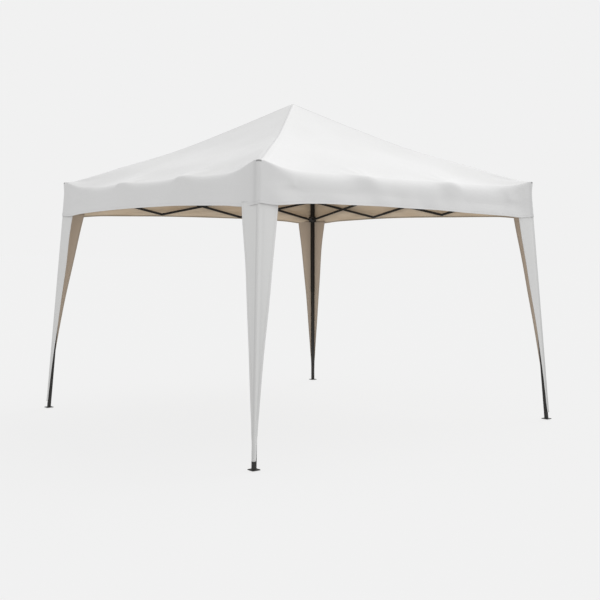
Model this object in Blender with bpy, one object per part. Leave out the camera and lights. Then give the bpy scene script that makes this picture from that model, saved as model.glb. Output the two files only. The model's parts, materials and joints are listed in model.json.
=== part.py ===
"""A pop up gazebo with slanted legs, standing open, with its origin on the ground below its peak.

+Z is up and -Y is the front. The frame repeats four times round the Z axis: corner k and side k are
corner 0 (front left) and side 0 (front) turned by k quarter turns, and side k runs from corner k to
corner k + 1. Every side is a scissor truss of three crossed pairs of bars. A bar that goes down along
its side is a down bar, and carries the rivets; an up bar has holes for them.
"""

import math

import bmesh
import bpy
from mathutils import Matrix, Vector

CORNERS = ("front_left", "front_right", "back_right", "back_left")
SIDES = ("front", "right", "back", "left")
QUARTER = math.pi / 2
DIAGONAL = math.sqrt(2)

# Legs. Both halves are distances from the middle of the gazebo to a leg's centre line.
FOOT_HALF = 1.475
TOP_HALF = 1.349
LEG_PIN_Z = 1.875
OUTER_TUBE = 0.030
INNER_TUBE = 0.025
TUBE_WALL = 0.0015
OUTER_ABOVE_PIN = 0.010
OUTER_BELOW_PIN = 0.950
TELESCOPE_OVERLAP = 0.120
FOOT_PLATE = 0.062
FOOT_PLATE_THICK = 0.004
PEG_HOLE_RADIUS = 0.0045
PEG_HOLE_INSET = 0.011

# Scissor trusses
PAIRS = 3
UPPER_Z = 1.847
TRUSS_HEIGHT = 0.175
PIVOT_FROM_CORNER = 0.045
TRUSS_INSET = 0.010
BAR_DEPTH = 0.020
BAR_THICK = 0.009
BAR_GAP = 0.001

# Corner brackets and sliders
BRACKET_HALF = 0.0215
BRACKET_TOP = 1.8975
BRACKET_BOTTOM = 1.832
SOCKET = (-0.0184, 0.0164)
SLIDER_HEIGHT = 0.054
SLIDER_INNER_FACE = 0.0173
SLIDER_REACH = 0.033
BUTTON_RADIUS = 0.008
BUTTON_LENGTH = 0.016
BUTTON_TIP = 0.0215

# Roof struts, in the vertical plane through each diagonal: (distance from the middle, height)
STRUT_FROM_CORNER = 0.052
STRUT_Z = 1.868
ELBOW = (0.965, 2.148)
HUB_PIVOT = (0.050, 2.455)
STRUT_DEPTH = 0.018
STRUT_THICK = 0.007
STRUT_GAP = 0.00075
EAR_THICK = 0.004

# Rivets
RIVET_RADIUS = 0.0025
RIVET_HOLE_RADIUS = 0.0031
RIVET_HEAD_RADIUS = 0.005
RIVET_HEAD_THICK = 0.0015
RIVET_PLAY = 0.0005

# Fabric
CANOPY_HALF = 1.375
PEAK_Z = 2.552
CORNER_Z = 1.912
EAVE_Z = 1.858
VALANCE_HALF = 1.391
VALANCE_Z = 1.631
CANOPY_THICK = 0.003
ROOF_DROP = 0.005
FLAT_BY_HIP = 0.048
DIP_WIDTH = 0.160
COVER_TOP_Z = 1.638
COVER_BOTTOM_Z = 0.055
COVER_INSIDE = 0.0175
COVER_THICK = 0.003
COVER_TOP_WIDTH = 0.175
COVER_BOTTOM_WIDTH = 0.030

LEG_SLOPE = (FOOT_HALF - TOP_HALF) / LEG_PIN_Z
LOWER_Z = UPPER_Z - TRUSS_HEIGHT
PAIR_WIDTH = 2 * (TOP_HALF - PIVOT_FROM_CORNER) / PAIRS
BAR_LENGTH = math.hypot(PAIR_WIDTH, TRUSS_HEIGHT)
BAR_SLOPE = math.atan2(TRUSS_HEIGHT, PAIR_WIDTH)
STRUT_PIVOT = (TOP_HALF * DIAGONAL - STRUT_FROM_CORNER, STRUT_Z)


def leg_half(z):
    """The distance from the middle of the gazebo to a leg's centre line at a height."""
    return TOP_HALF + LEG_SLOPE * (LEG_PIN_Z - z)


# Outlines and solids


def arc(centre_u, centre_v, radius, start, turn, steps):
    """Points along an arc, with both of its ends."""
    angles = [start + turn * i / steps for i in range(steps + 1)]
    return [(centre_u + radius * math.cos(t), centre_v + radius * math.sin(t)) for t in angles]


def rounded_square(half, radius, steps=2):
    inset = half - radius
    centres = ((inset, inset), (-inset, inset), (-inset, -inset), (inset, -inset))
    points = []
    for quarter, (u, v) in enumerate(centres):
        points += arc(u, v, radius, quarter * QUARTER, QUARTER, steps)
    return points


def stadium(length, radius, steps=6):
    """An outline with round ends, centred on the points (0, 0) and (length, 0)."""
    far_end = arc(length, 0, radius, -QUARTER, math.pi, steps)
    return far_end + arc(0, 0, radius, QUARTER, math.pi, steps)


def rectangle(low_u, low_v, high_u, high_v):
    return [(low_u, low_v), (high_u, low_v), (high_u, high_v), (low_u, high_v)]


def shift(points, u, v):
    return [(a + u, b + v) for a, b in points]


def finish_mesh(name, bm):
    bmesh.ops.recalc_face_normals(bm, faces=bm.faces)
    mesh = bpy.data.meshes.new(name)
    bm.to_mesh(mesh)
    bm.free()
    return mesh


def prism(outline, low, high, along="z"):
    """An outline extruded from low to high. Along z it lies in x and y, and along y in x and z."""
    bm = bmesh.new()
    place = {"z": lambda u, v, h: (u, v, h), "y": lambda u, v, h: (u, h, v)}[along]
    ends = [[bm.verts.new(place(u, v, h)) for u, v in outline] for h in (low, high)]
    for end in ends:
        bm.faces.new(end)
    bridge(bm, ends[0], ends[1])
    return finish_mesh("prism", bm)


def bridge(bm, first, second):
    """Quads between two closed rings of the same number of vertices."""
    count = len(first)
    for i in range(count):
        j = (i + 1) % count
        bm.faces.new((first[i], first[j], second[j], second[i]))


def square_tube(half, wall, low, high):
    bm = bmesh.new()
    corner = 2 * wall
    rings = []
    for size, radius in ((half, corner), (half - wall, corner - wall)):
        for z in (low, high):
            rings.append([bm.verts.new((u, v, z)) for u, v in rounded_square(size, radius)])
    outer_low, outer_high, inner_low, inner_high = rings
    bridge(bm, outer_low, outer_high)
    bridge(bm, inner_low, inner_high)
    bridge(bm, outer_low, inner_low)
    bridge(bm, outer_high, inner_high)
    return finish_mesh("tube", bm)


def lathe(profile, segments, at=(0, 0, 0), along="z"):
    """A solid turned about an axis. The profile's points are (radius, distance along the axis)."""
    bm = bmesh.new()
    turn = Matrix.Rotation(-QUARTER, 3, "X") if along == "y" else Matrix.Identity(3)
    if along == "x":
        turn = Matrix.Rotation(QUARTER, 3, "Y")
    rings = []
    for radius, height in profile:
        ring = []
        for i in range(segments):
            angle = 2 * math.pi * i / segments
            point = Vector((radius * math.cos(angle), radius * math.sin(angle), height))
            ring.append(bm.verts.new(turn @ point + Vector(at)))
        rings.append(ring)
    for first, second in zip(rings, rings[1:]):
        bridge(bm, first, second)
    bm.faces.new(rings[0])
    bm.faces.new(rings[-1])
    return finish_mesh("lathe", bm)


def hole(at, radius, along, reach=0.05, segments=10):
    return lathe([(radius, -reach), (radius, reach)], segments, at, along)


def rivet(u, v, root, plate_far_side, along_sign=-1):
    """A rivet along Y at (u, v): from its root, through a plate, to a head just past the plate."""
    under = plate_far_side + along_sign * RIVET_PLAY
    top = under + along_sign * RIVET_HEAD_THICK
    profile = [
        (RIVET_RADIUS, root),
        (RIVET_RADIUS, under),
        (RIVET_HEAD_RADIUS, under),
        (RIVET_HEAD_RADIUS * 0.8, top),
    ]
    return lathe(profile, 10, (u, 0, v), "y")


def solid(base, add=(), cut=()):
    """The base mesh with some meshes joined on, and then others cut out."""
    scene = bpy.context.scene.collection
    body = bpy.data.objects.new("body", base)
    scene.objects.link(body)
    helpers = []
    for meshes, operation in ((add, "UNION"), (cut, "DIFFERENCE")):
        for mesh in meshes:
            helper = bpy.data.objects.new("helper", mesh)
            scene.objects.link(helper)
            helpers.append(helper)
            modifier = body.modifiers.new(operation.lower(), "BOOLEAN")
            modifier.operation = operation
            modifier.solver = "EXACT"
            modifier.object = helper
    bpy.context.view_layer.update()
    evaluated = body.evaluated_get(bpy.context.evaluated_depsgraph_get())
    result = bpy.data.meshes.new_from_object(evaluated)
    for helper in [*helpers, body]:
        bpy.data.objects.remove(helper)
    return result


def turned(mesh, matrix):
    mesh.transform(matrix)
    return mesh


# Materials


def make_material(name, colour, roughness, metallic=0.0):
    material = bpy.data.materials.new(name)
    material.use_nodes = True
    shader = material.node_tree.nodes["Principled BSDF"]
    shader.inputs["Base Color"].default_value = (*colour, 1)
    shader.inputs["Roughness"].default_value = roughness
    shader.inputs["Metallic"].default_value = metallic
    return material


# Each colour's name: (linear colour, roughness, metallic)
FINISHES = {
    "coated_steel": ((0.10, 0.105, 0.11), 0.45, 0.6),
    "black_plastic": ((0.03, 0.03, 0.032), 0.55, 0.0),
    "button_plastic": ((0.45, 0.45, 0.46), 0.4, 0.0),
    "roof_fabric": ((0.78, 0.77, 0.75), 0.85, 0.0),
}


def place(name, mesh, finish, parent, location=(0, 0, 0), rotation=None):
    """Add a piece: a mesh with its own material, placed under an empty."""
    colour, roughness, metallic = FINISHES[finish]
    mesh.name = name
    mesh.materials.clear()
    mesh.materials.append(make_material(name, colour, roughness, metallic))
    mesh.shade_smooth()
    mesh.set_sharp_from_angle(angle=math.radians(40))
    piece = bpy.data.objects.new(name, mesh)
    bpy.context.scene.collection.objects.link(piece)
    piece.parent = parent
    turn = rotation.to_4x4() if rotation else Matrix.Identity(4)
    piece.matrix_local = Matrix.Translation(location) @ turn
    return piece


def make_empty(name, parent=None, location=(0, 0, 0), turn=0.0):
    empty = bpy.data.objects.new(name, None)
    bpy.context.scene.collection.objects.link(empty)
    empty.parent = parent
    empty.location = location
    empty.rotation_euler.z = turn
    return empty


def place_on_pivot(name, mesh, finish, parent, location, pivot):
    """Add a piece under an empty on its hinge's axis, for a piece whose own origin is elsewhere."""
    empty = make_empty(f"pivot_{name}", parent, pivot)
    return place(name, mesh, finish, empty, Vector(location) - Vector(pivot))


# The frame's pieces, each in its own frame


def bar_mesh(carries_rivets, origin_along):
    """A truss bar along X with its thickness along Y, with its origin at a distance along it."""
    pivots = (0, BAR_LENGTH / 2, BAR_LENGTH)
    near, far = BAR_GAP, BAR_GAP + BAR_THICK
    outline = stadium(BAR_LENGTH, BAR_DEPTH / 2)
    if carries_rivets:
        rivets = [rivet(u, 0, (near + far) / 2, -far) for u in pivots]
        mesh = solid(prism(outline, near, far, "y"), add=rivets)
    else:
        holes = [hole((u, 0, 0), RIVET_HOLE_RADIUS, "y") for u in pivots]
        mesh = solid(prism(outline, -far, -near, "y"), cut=holes)
    return turned(mesh, Matrix.Translation((-origin_along, 0, 0)))


def truss_ear(start, pivot, plane, has_rivet):
    """A plate along X from start to a truss pivot, in one of the two layers of a truss.

    The plate with a rivet is in the inner layer and holds an up bar. The other one is in the outer
    layer, and a down bar's rivet goes through it.
    """
    near, far = BAR_GAP, BAR_GAP + BAR_THICK
    outline = shift(stadium(pivot - start, BAR_DEPTH / 2), start, 0)
    if has_rivet:
        mesh = solid(prism(outline, near, far, "y"), add=[rivet(pivot, 0, (near + far) / 2, -far)])
    else:
        cut = [hole((pivot, 0, 0), RIVET_HOLE_RADIUS, "y")]
        mesh = solid(prism(outline, -far, -near, "y"), cut=cut)
    return turned(mesh, Matrix.Translation((0, plane, 0)))


# A side's end meets a corner along the corner's Y axis: its own X axis points out of the corner's -Y.
SIDE_END = Matrix(((0, 1, 0, 0), (-1, 0, 0, 0), (0, 0, 1, 0), (0, 0, 0, 1)))
FLIP_X = Matrix.Scale(-1, 4, (1, 0, 0))


def side_end_ear(start, pivot, plane, has_rivet):
    """The same plate for the side that ends at the corner, so it reaches back along that side."""
    mesh = truss_ear(start, pivot, plane, has_rivet)
    mesh.transform(SIDE_END @ FLIP_X)
    mesh.flip_normals()
    return mesh


def strut_ear(toward, pivot, side, layer):
    """A plate in a diagonal plane with a rivet. layer is the side of the plane that it stands on."""
    low, high = sorted((layer * STRUT_GAP, layer * (STRUT_GAP + EAR_THICK)))
    radius = STRUT_DEPTH / 2
    plate = prism(shift(stadium(pivot[0] - toward, radius), toward, pivot[1]), low, high, "y")
    far = -layer * (STRUT_GAP + STRUT_THICK)
    pin = rivet(pivot[0], pivot[1], (low + high) / 2, far, -layer)
    mesh = solid(plate, add=[pin])
    return turned(mesh, Matrix.Rotation(side, 4, "Z"))


def bracket_mesh(layer):
    """The cap on top of a leg, with an ear for each truss and one for the roof strut."""
    top, bottom = BRACKET_TOP - UPPER_Z, BRACKET_BOTTOM - UPPER_Z
    body = prism(rounded_square(BRACKET_HALF, 0.004), bottom, top)
    low, high = SOCKET
    socket_top = LEG_PIN_Z + OUTER_ABOVE_PIN + 0.004 - UPPER_Z
    socket = prism(rectangle(low, low, high, high), bottom - 0.01, socket_top)
    truss_root = (BRACKET_HALF + high) / 2 + BAR_DEPTH / 2
    strut_root = BRACKET_HALF * DIAGONAL + 0.005
    ears = [
        truss_ear(truss_root, PIVOT_FROM_CORNER, TRUSS_INSET, False),
        side_end_ear(truss_root, PIVOT_FROM_CORNER, TRUSS_INSET, True),
        strut_ear(strut_root, (STRUT_FROM_CORNER, STRUT_Z - UPPER_Z), QUARTER / 2, layer),
    ]
    return solid(body, add=ears, cut=[socket])


def slider_mesh():
    """The shoe that runs on a leg's two inner faces. Its origin is on the leg's centre line."""
    drift = leg_half(LOWER_Z) - TOP_HALF
    pivot, plane = PIVOT_FROM_CORNER + drift, TRUSS_INSET + drift
    low, high = SLIDER_INNER_FACE, SLIDER_REACH
    outline = [(-low, low), (low, low), (low, -low), (high, -low), (high, high), (-low, high)]
    half = SLIDER_HEIGHT / 2
    body = prism(outline, -half, half)
    ears = [
        truss_ear(high + 0.004, pivot, plane, True),
        side_end_ear(high + 0.004, pivot, plane, False),
    ]
    pocket = hole((high, 0, 0), BUTTON_RADIUS + 0.0004, "x", segments=16)
    return solid(body, add=ears, cut=[pocket])


def button_mesh():
    """A round push button along X, with its origin at its tip."""
    profile = [
        (BUTTON_RADIUS - 0.001, 0),
        (BUTTON_RADIUS, 0.001),
        (BUTTON_RADIUS, BUTTON_LENGTH - 0.002),
        (BUTTON_RADIUS - 0.002, BUTTON_LENGTH),
    ]
    return lathe(profile, 16, along="x")


def foot_z():
    """The height of the ground in a leg's own frame."""
    return -LEG_PIN_Z * math.sqrt(1 + 2 * LEG_SLOPE**2)


def inner_leg_mesh(tilt):
    """The lower tube with its foot plate welded on flat to the ground, in the leg's own frame."""
    bottom = foot_z() + FOOT_PLATE_THICK / 2
    top = -OUTER_BELOW_PIN + TELESCOPE_OVERLAP
    tube = square_tube(INNER_TUBE / 2, TUBE_WALL, bottom, top)
    plate = prism(rounded_square(FOOT_PLATE / 2, 0.008), 0, FOOT_PLATE_THICK)
    inset = FOOT_PLATE / 2 - PEG_HOLE_INSET
    holes = [hole((u, -u, 0), PEG_HOLE_RADIUS, "z") for u in (-inset, inset)]
    foot = Vector((-(FOOT_HALF - TOP_HALF), -(FOOT_HALF - TOP_HALF), -LEG_PIN_Z))
    into_leg = tilt.inverted().to_4x4() @ Matrix.Translation(foot)
    plate.transform(into_leg)
    for peg_hole in holes:
        peg_hole.transform(into_leg)
    return solid(tube, add=[plate], cut=holes)


def strut_mesh(length, layer, hole_at, origin_along):
    """A roof strut along X in a diagonal plane, with a hole at one end for its ear's rivet."""
    low, high = sorted((layer * STRUT_GAP, layer * (STRUT_GAP + STRUT_THICK)))
    body = prism(stadium(length, STRUT_DEPTH / 2), low, high, "y")
    mesh = solid(body, cut=[hole((hole_at, 0, 0), RIVET_HOLE_RADIUS, "y")])
    return turned(mesh, Matrix.Translation((-origin_along, 0, 0)))


def hub_mesh(layers):
    """The plastic hub under the peak, with an ear for each inner strut. Its origin is on its axis."""
    body = lathe([(0.024, -0.026), (0.027, -0.022), (0.027, 0.018), (0.022, 0.022)], 16)
    ears = []
    for k, layer in enumerate(layers):
        outward = (k - 2) * QUARTER + math.pi / 4
        ears.append(strut_ear(0.018, (HUB_PIVOT[0], 0), outward, -layer))
    return solid(body, add=ears)


def peak_cap_mesh():
    """The domed cap that lifts the middle of the roof, with its origin at the hub's pivots' height."""
    profile = [
        (0.009, 0.0225),
        (0.009, 0.050),
        (0.026, 0.054),
        (0.027, 0.060),
        (0.022, 0.071),
        (0.012, 0.081),
        (0.003, 0.086),
    ]
    return lathe(profile, 16)


# The fabric


def smooth_between(points, at):
    """A smooth curve through (place, value) points, read at one place."""
    places = [p for p, _ in points]
    values = [v for _, v in points]
    at = min(max(at, places[0]), places[-1])
    i = max(k for k in range(len(points) - 1) if places[k] <= at)
    span = places[i + 1] - places[i]
    t = (at - places[i]) / span

    def slope(k):
        a, b = max(k - 1, 0), min(k + 1, len(points) - 1)
        return (values[b] - values[a]) / (places[b] - places[a]) * span

    rise = values[i + 1] - values[i]
    return (
        values[i]
        + slope(i) * t
        + (3 * rise - 2 * slope(i) - slope(i + 1)) * t**2
        + (slope(i) + slope(i + 1) - 2 * rise) * t**3
    )


# The height of a hip seam, from the peak to the corner
HIP = (
    (0.0, PEAK_Z),
    (0.25, 2.354),
    (0.50, 2.172),
    (0.75, 2.032),
    (0.90, 1.948),
    (0.96, 1.920),
    (1.0, CORNER_Z),
)


def roof_height(out, across):
    """The roof's height, out from the peak to the eave and across from one hip to the other.

    Beside each hip it lies flat over the bracket, and then it drops to the eave's own height.
    """
    from_hip = (1 - abs(across)) * out * CANOPY_HALF
    t = min(max((from_hip - FLAT_BY_HIP) / DIP_WIDTH, 0), 1)
    dip = (CORNER_Z - EAVE_Z) * out**2 * t * t * (3 - 2 * t)
    return smooth_between(HIP, out) - dip


# Where the canopy's columns stand on a side, from its first hip up to its last
ACROSS = (-1, -0.963, -0.93, -0.89, -0.84, -0.65, -0.33, 0, 0.33, 0.65, 0.84, 0.89, 0.93, 0.963)


def ring_points(half, height_at):
    """Points round a square, starting at the front left corner."""
    points = []
    for side in range(4):
        turn = Matrix.Rotation(side * QUARTER, 3, "Z")
        points += [turn @ Vector((across * half, -half, height_at(across))) for across in ACROSS]
    return points


def canopy_shell(inward):
    """The rings of one face of the canopy, from the peak down to the valance's hem."""
    steps = (0.03, 0.10, 0.2, 0.3, 0.4, 0.5, 0.6, 0.7, 0.8, 0.88, 0.94, 0.98, 1.0)
    drop = ROOF_DROP if inward else 0
    rings = []
    for out in steps:
        half = out * (CANOPY_HALF - inward)
        rings.append(ring_points(half, lambda u, o=out: roof_height(o, u) - drop))
    for fall in (0.5, 1.0):
        half = CANOPY_HALF + (VALANCE_HALF - CANOPY_HALF) * fall - inward

        def height(u, fall=fall):
            return (1 - fall) * roof_height(1, u) + fall * VALANCE_Z

        rings.append(ring_points(half, height))
    return rings


def canopy_mesh():
    """The roof and its valance as one thin closed shell, open below."""
    bm = bmesh.new()
    shells = []
    for inward in (0, CANOPY_THICK):
        rings = [[bm.verts.new(p) for p in ring] for ring in canopy_shell(inward)]
        peak = bm.verts.new((0, 0, PEAK_Z - (ROOF_DROP if inward else 0)))
        count = len(rings[0])
        for i in range(count):
            bm.faces.new((peak, rings[0][i], rings[0][(i + 1) % count]))
        for first, second in zip(rings, rings[1:]):
            bridge(bm, first, second)
        shells.append(rings)
    bridge(bm, shells[0][-1], shells[1][-1])
    return finish_mesh("canopy", bm)


def leg_cover_mesh():
    """The folded strip of fabric that hangs round a leg's outer corner, from the leg's pin."""
    bm = bmesh.new()
    rows = 6
    rings = []
    for row in range(rows + 1):
        t = row / rows
        z = COVER_TOP_Z + (COVER_BOTTOM_Z - COVER_TOP_Z) * t
        wide = COVER_TOP_WIDTH + (COVER_BOTTOM_WIDTH - COVER_TOP_WIDTH) * t**0.9
        corner = -(leg_half(z) - TOP_HALF) - COVER_INSIDE - COVER_THICK
        inner = corner + COVER_THICK
        outline = [
            (corner, corner),
            (corner + wide, corner),
            (corner + wide, inner),
            (inner, inner),
            (inner, corner + wide),
            (corner, corner + wide),
        ]
        rings.append([bm.verts.new((u, v, z - LEG_PIN_Z)) for u, v in outline])
    for first, second in zip(rings, rings[1:]):
        bridge(bm, first, second)
    for end in (rings[0], rings[-1]):
        corner_out, reach_x, inner_x, corner_in, inner_y, reach_y = end
        bm.faces.new((corner_out, reach_x, inner_x, corner_in))
        bm.faces.new((corner_out, corner_in, inner_y, reach_y))
    return finish_mesh("leg_cover", bm)


# Assembly


def add_side(side, turn_empty, hangs_from_start):
    """The six bars of one side. Every bar's origin is on the pivot that it hangs from."""
    half = BAR_LENGTH / 2
    down_origin, up_origin = (0, half) if hangs_from_start else (half, BAR_LENGTH)
    down_turn = Matrix.Rotation(BAR_SLOPE, 3, "Y")
    up_turn = Matrix.Rotation(-BAR_SLOPE, 3, "Y")
    plane = -(TOP_HALF - TRUSS_INSET)
    for i in range(PAIRS):
        x = -(TOP_HALF - PIVOT_FROM_CORNER) + i * PAIR_WIDTH
        for kind, z, turn, origin in (
            ("down", UPPER_Z, down_turn, down_origin),
            ("up", LOWER_Z, up_turn, up_origin),
        ):
            at = Vector((x, plane, z)) + turn @ Vector((origin, 0, 0))
            mesh = bar_mesh(kind == "down", origin)
            place(f"{side}_{kind}_bar_{i + 1}", mesh, "coated_steel", turn_empty, at, turn)


def truss_pivot(z, at_start):
    """A corner's pivot for the side that starts there, or for the one that ends there."""
    along, plane = -(TOP_HALF - PIVOT_FROM_CORNER), -(TOP_HALF - TRUSS_INSET)
    return (along, plane, z) if at_start else (plane, along, z)


def add_leg(corner, turn_empty):
    """A corner's telescopic leg and its fabric cover. Their origin is on the pin the leg tilts on."""
    pin = (-TOP_HALF, -TOP_HALF, LEG_PIN_Z)
    up_leg = Vector((LEG_SLOPE, LEG_SLOPE, 1))
    tilt = Vector((0, 0, 1)).rotation_difference(up_leg).to_matrix()
    outer = square_tube(OUTER_TUBE / 2, TUBE_WALL, -OUTER_BELOW_PIN, OUTER_ABOVE_PIN)
    place(f"outer_leg_{corner}", outer, "coated_steel", turn_empty, pin, tilt)
    place(f"inner_leg_{corner}", inner_leg_mesh(tilt), "coated_steel", turn_empty, pin, tilt)
    place(f"leg_cover_{corner}", leg_cover_mesh(), "roof_fabric", turn_empty, pin)


def add_fittings(corner, turn_empty, layer, at_start):
    """A corner's bracket and slider, which hinge on one of its two sides, and the slider's button."""
    at = (-TOP_HALF, -TOP_HALF, UPPER_Z)
    pivot = truss_pivot(UPPER_Z, at_start)
    name = f"corner_bracket_{corner}"
    place_on_pivot(name, bracket_mesh(-layer), "black_plastic", turn_empty, at, pivot)

    slide_half = leg_half(LOWER_Z)
    at = Vector((-slide_half, -slide_half, LOWER_Z))
    pivot = truss_pivot(LOWER_Z, at_start)
    place_on_pivot(f"slider_{corner}", slider_mesh(), "black_plastic", turn_empty, at, pivot)
    button_at = at + Vector((BUTTON_TIP, 0, 0))
    place(f"slider_button_{corner}", button_mesh(), "button_plastic", turn_empty, button_at)


def add_struts(corner, turn_empty, layer, inner_hangs_from_hub):
    """A corner's two roof struts. Each one's origin is on the pivot that it hangs from."""
    inward = Matrix.Rotation(math.pi / 4, 3, "Z")
    for name, outside, inside, own_layer in (
        ("outer_strut", STRUT_PIVOT, ELBOW, layer),
        ("inner_strut", ELBOW, HUB_PIVOT, -layer),
    ):
        length = math.hypot(outside[0] - inside[0], inside[1] - outside[1])
        slope = math.atan2(inside[1] - outside[1], outside[0] - inside[0])
        is_inner = name == "inner_strut"
        hole_at = length if is_inner else 0
        origin = length if is_inner and inner_hangs_from_hub else 0
        turn = inward @ Matrix.Rotation(-slope, 3, "Y")
        mesh = strut_mesh(length, own_layer, hole_at, origin)
        start = Vector((-outside[0] / DIAGONAL, -outside[0] / DIAGONAL, outside[1]))
        at = start + turn @ Vector((origin, 0, 0))
        place(f"{name}_{corner}", mesh, "coated_steel", turn_empty, at, turn)


def main():
    for existing in list(bpy.data.objects):
        bpy.data.objects.remove(existing)

    # The front and right sides hang from their first corner, and the back and left ones from their
    # last, so the first and last corners' fittings hang on the side that starts there. The struts of
    # the back left corner swap layers.
    hangs_from_start = (True, True, False, False)
    fittings_at_start = (True, False, False, True)
    layers = (1, 1, 1, -1)
    for k, corner in enumerate(CORNERS):
        turn_empty = make_empty(f"quarter_{k}", turn=k * QUARTER)
        add_side(SIDES[k], turn_empty, hangs_from_start[k])
        add_leg(corner, turn_empty)
        add_fittings(corner, turn_empty, layers[k], fittings_at_start[k])
        add_struts(corner, turn_empty, layers[k], inner_hangs_from_hub=k > 0)

    # The hub hangs from the front left inner strut, and carries the cap and the canopy.
    hub_pivot = (-HUB_PIVOT[0] / DIAGONAL, -HUB_PIVOT[0] / DIAGONAL, HUB_PIVOT[1])
    hub_at = (0, 0, HUB_PIVOT[1])
    place_on_pivot("hub", hub_mesh(layers), "black_plastic", None, hub_at, hub_pivot)
    place_on_pivot("peak_cap", peak_cap_mesh(), "black_plastic", None, hub_at, hub_pivot)
    place_on_pivot("canopy", canopy_mesh(), "roof_fabric", None, (0, 0, 0), hub_pivot)


main()
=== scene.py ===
"""Looks for the pop up gazebo: its fabric roof, leg covers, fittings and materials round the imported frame.

Lengths are in metres in the frame's own axes: +Z up, -Y the front. Corner k and side k are the front
left corner and the front side turned by k quarter turns. On a side, `along` runs from its first corner
to its last, and is 0 at the middle.
"""

import json
import math

import bmesh
import bpy
import numpy as np
from mathutils import Matrix, Vector

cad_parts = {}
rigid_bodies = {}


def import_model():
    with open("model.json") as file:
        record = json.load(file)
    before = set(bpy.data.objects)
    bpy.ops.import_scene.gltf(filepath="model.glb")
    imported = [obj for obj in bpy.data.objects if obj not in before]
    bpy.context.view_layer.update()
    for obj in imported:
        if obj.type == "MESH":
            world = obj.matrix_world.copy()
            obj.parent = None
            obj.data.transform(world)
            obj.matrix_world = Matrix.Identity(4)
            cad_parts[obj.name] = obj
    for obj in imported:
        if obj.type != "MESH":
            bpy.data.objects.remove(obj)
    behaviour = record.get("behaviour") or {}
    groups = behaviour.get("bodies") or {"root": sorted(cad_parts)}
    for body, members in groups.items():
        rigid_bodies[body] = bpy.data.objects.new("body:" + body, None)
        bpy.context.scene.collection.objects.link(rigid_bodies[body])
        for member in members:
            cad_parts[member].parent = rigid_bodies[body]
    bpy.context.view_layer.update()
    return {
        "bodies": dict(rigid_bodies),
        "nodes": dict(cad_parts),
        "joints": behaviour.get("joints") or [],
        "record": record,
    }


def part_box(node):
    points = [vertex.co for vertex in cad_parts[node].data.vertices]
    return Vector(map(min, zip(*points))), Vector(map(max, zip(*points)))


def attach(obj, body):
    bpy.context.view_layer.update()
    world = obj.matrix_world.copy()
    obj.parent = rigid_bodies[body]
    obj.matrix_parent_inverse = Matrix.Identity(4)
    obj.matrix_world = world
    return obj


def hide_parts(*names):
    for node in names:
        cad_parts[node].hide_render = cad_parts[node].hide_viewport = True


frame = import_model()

CORNERS = ("front_left", "front_right", "back_right", "back_left")
JOINTS = {joint["name"]: joint for joint in frame["joints"]}
COVER_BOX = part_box("leg_cover_front_left")
ROOF_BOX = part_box("canopy")

# The roof. The eave is the fold between the roof and its valance.
VALANCE_LEAN = 0.015
HEM_HALF = ROOF_BOX[1].x - 0.001
EAVE_HALF = HEM_HALF - VALANCE_LEAN
PEAK_Z = ROOF_BOX[1].z
HEM_Z = ROOF_BOX[0].z
CLEAR_OF_BRACKET = 0.0145
CORNER_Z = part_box("corner_bracket_front_left")[1].z + CLEAR_OF_BRACKET
EAVE_DROP = 0.057
NODE_ALONG = abs(JOINTS["fold"]["pos_m"][0]) / 3
CLOTH = 0.0012

# The height of a hip seam below the peak, as a share of the drop to the corner
HIP_SHAPE = ((0, 0), (0.25, 0.309), (0.5, 0.594), (0.75, 0.812), (0.9, 0.944), (0.96, 0.9875), (1, 1))


def turn(points, quarters):
    """Points turned about the vertical axis by a number of quarter turns."""
    cos, sin = ((1, 0), (0, 1), (-1, 0), (0, -1))[quarters % 4]
    x, y = points[..., 0], points[..., 1]
    return np.stack((cos * x - sin * y, sin * x + cos * y, points[..., 2]), axis=-1)


def smooth(low, high, value):
    """0 below low, 1 above high, and smooth between them."""
    t = np.clip((value - low) / (high - low), 0, 1)
    return t * t * (3 - 2 * t)


def bump(value, centre, width):
    """A smooth hump, 1 at its centre."""
    return np.exp(-(((value - centre) / width) ** 2))


def through(points, at):
    """A smooth curve through (place, value) points, read at an array of places."""
    places, values = (np.array(part, float) for part in zip(*points))
    slopes = np.gradient(values, places)
    i = np.clip(np.searchsorted(places, at, "right") - 1, 0, len(places) - 2)
    span = places[i + 1] - places[i]
    t = (at - places[i]) / span
    a, b = values[i], values[i + 1]
    da, db = slopes[i] * span, slopes[i + 1] * span
    return a + da * t + (3 * (b - a) - 2 * da - db) * t**2 + (da + db - 2 * (b - a)) * t**3


def waves(x, y, seed, count, length, spread=0.6):
    """A smooth random field from -1 to 1: a few sine waves of about one length."""
    rng = np.random.default_rng(seed)
    total = np.zeros(np.broadcast(x, y).shape)
    for _ in range(count):
        angle, phase = rng.uniform(0, math.pi), rng.uniform(0, 2 * math.pi)
        size = length * rng.uniform(1 - spread, 1 + spread)
        total += np.sin((x * math.cos(angle) + y * math.sin(angle)) * 2 * math.pi / size + phase)
    return total / math.sqrt(count) / 1.5


# Meshes


def grid_faces(rows, columns, closed=False):
    """Quads between the neighbours of a grid of vertices, numbered row by row."""
    faces = []
    last = columns if closed else columns - 1
    for row in range(rows - 1):
        for column in range(last):
            right = (column + 1) % columns
            below = (row + 1) * columns
            faces.append((row * columns + column, row * columns + right, below + right, below + column))
    return faces


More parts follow.
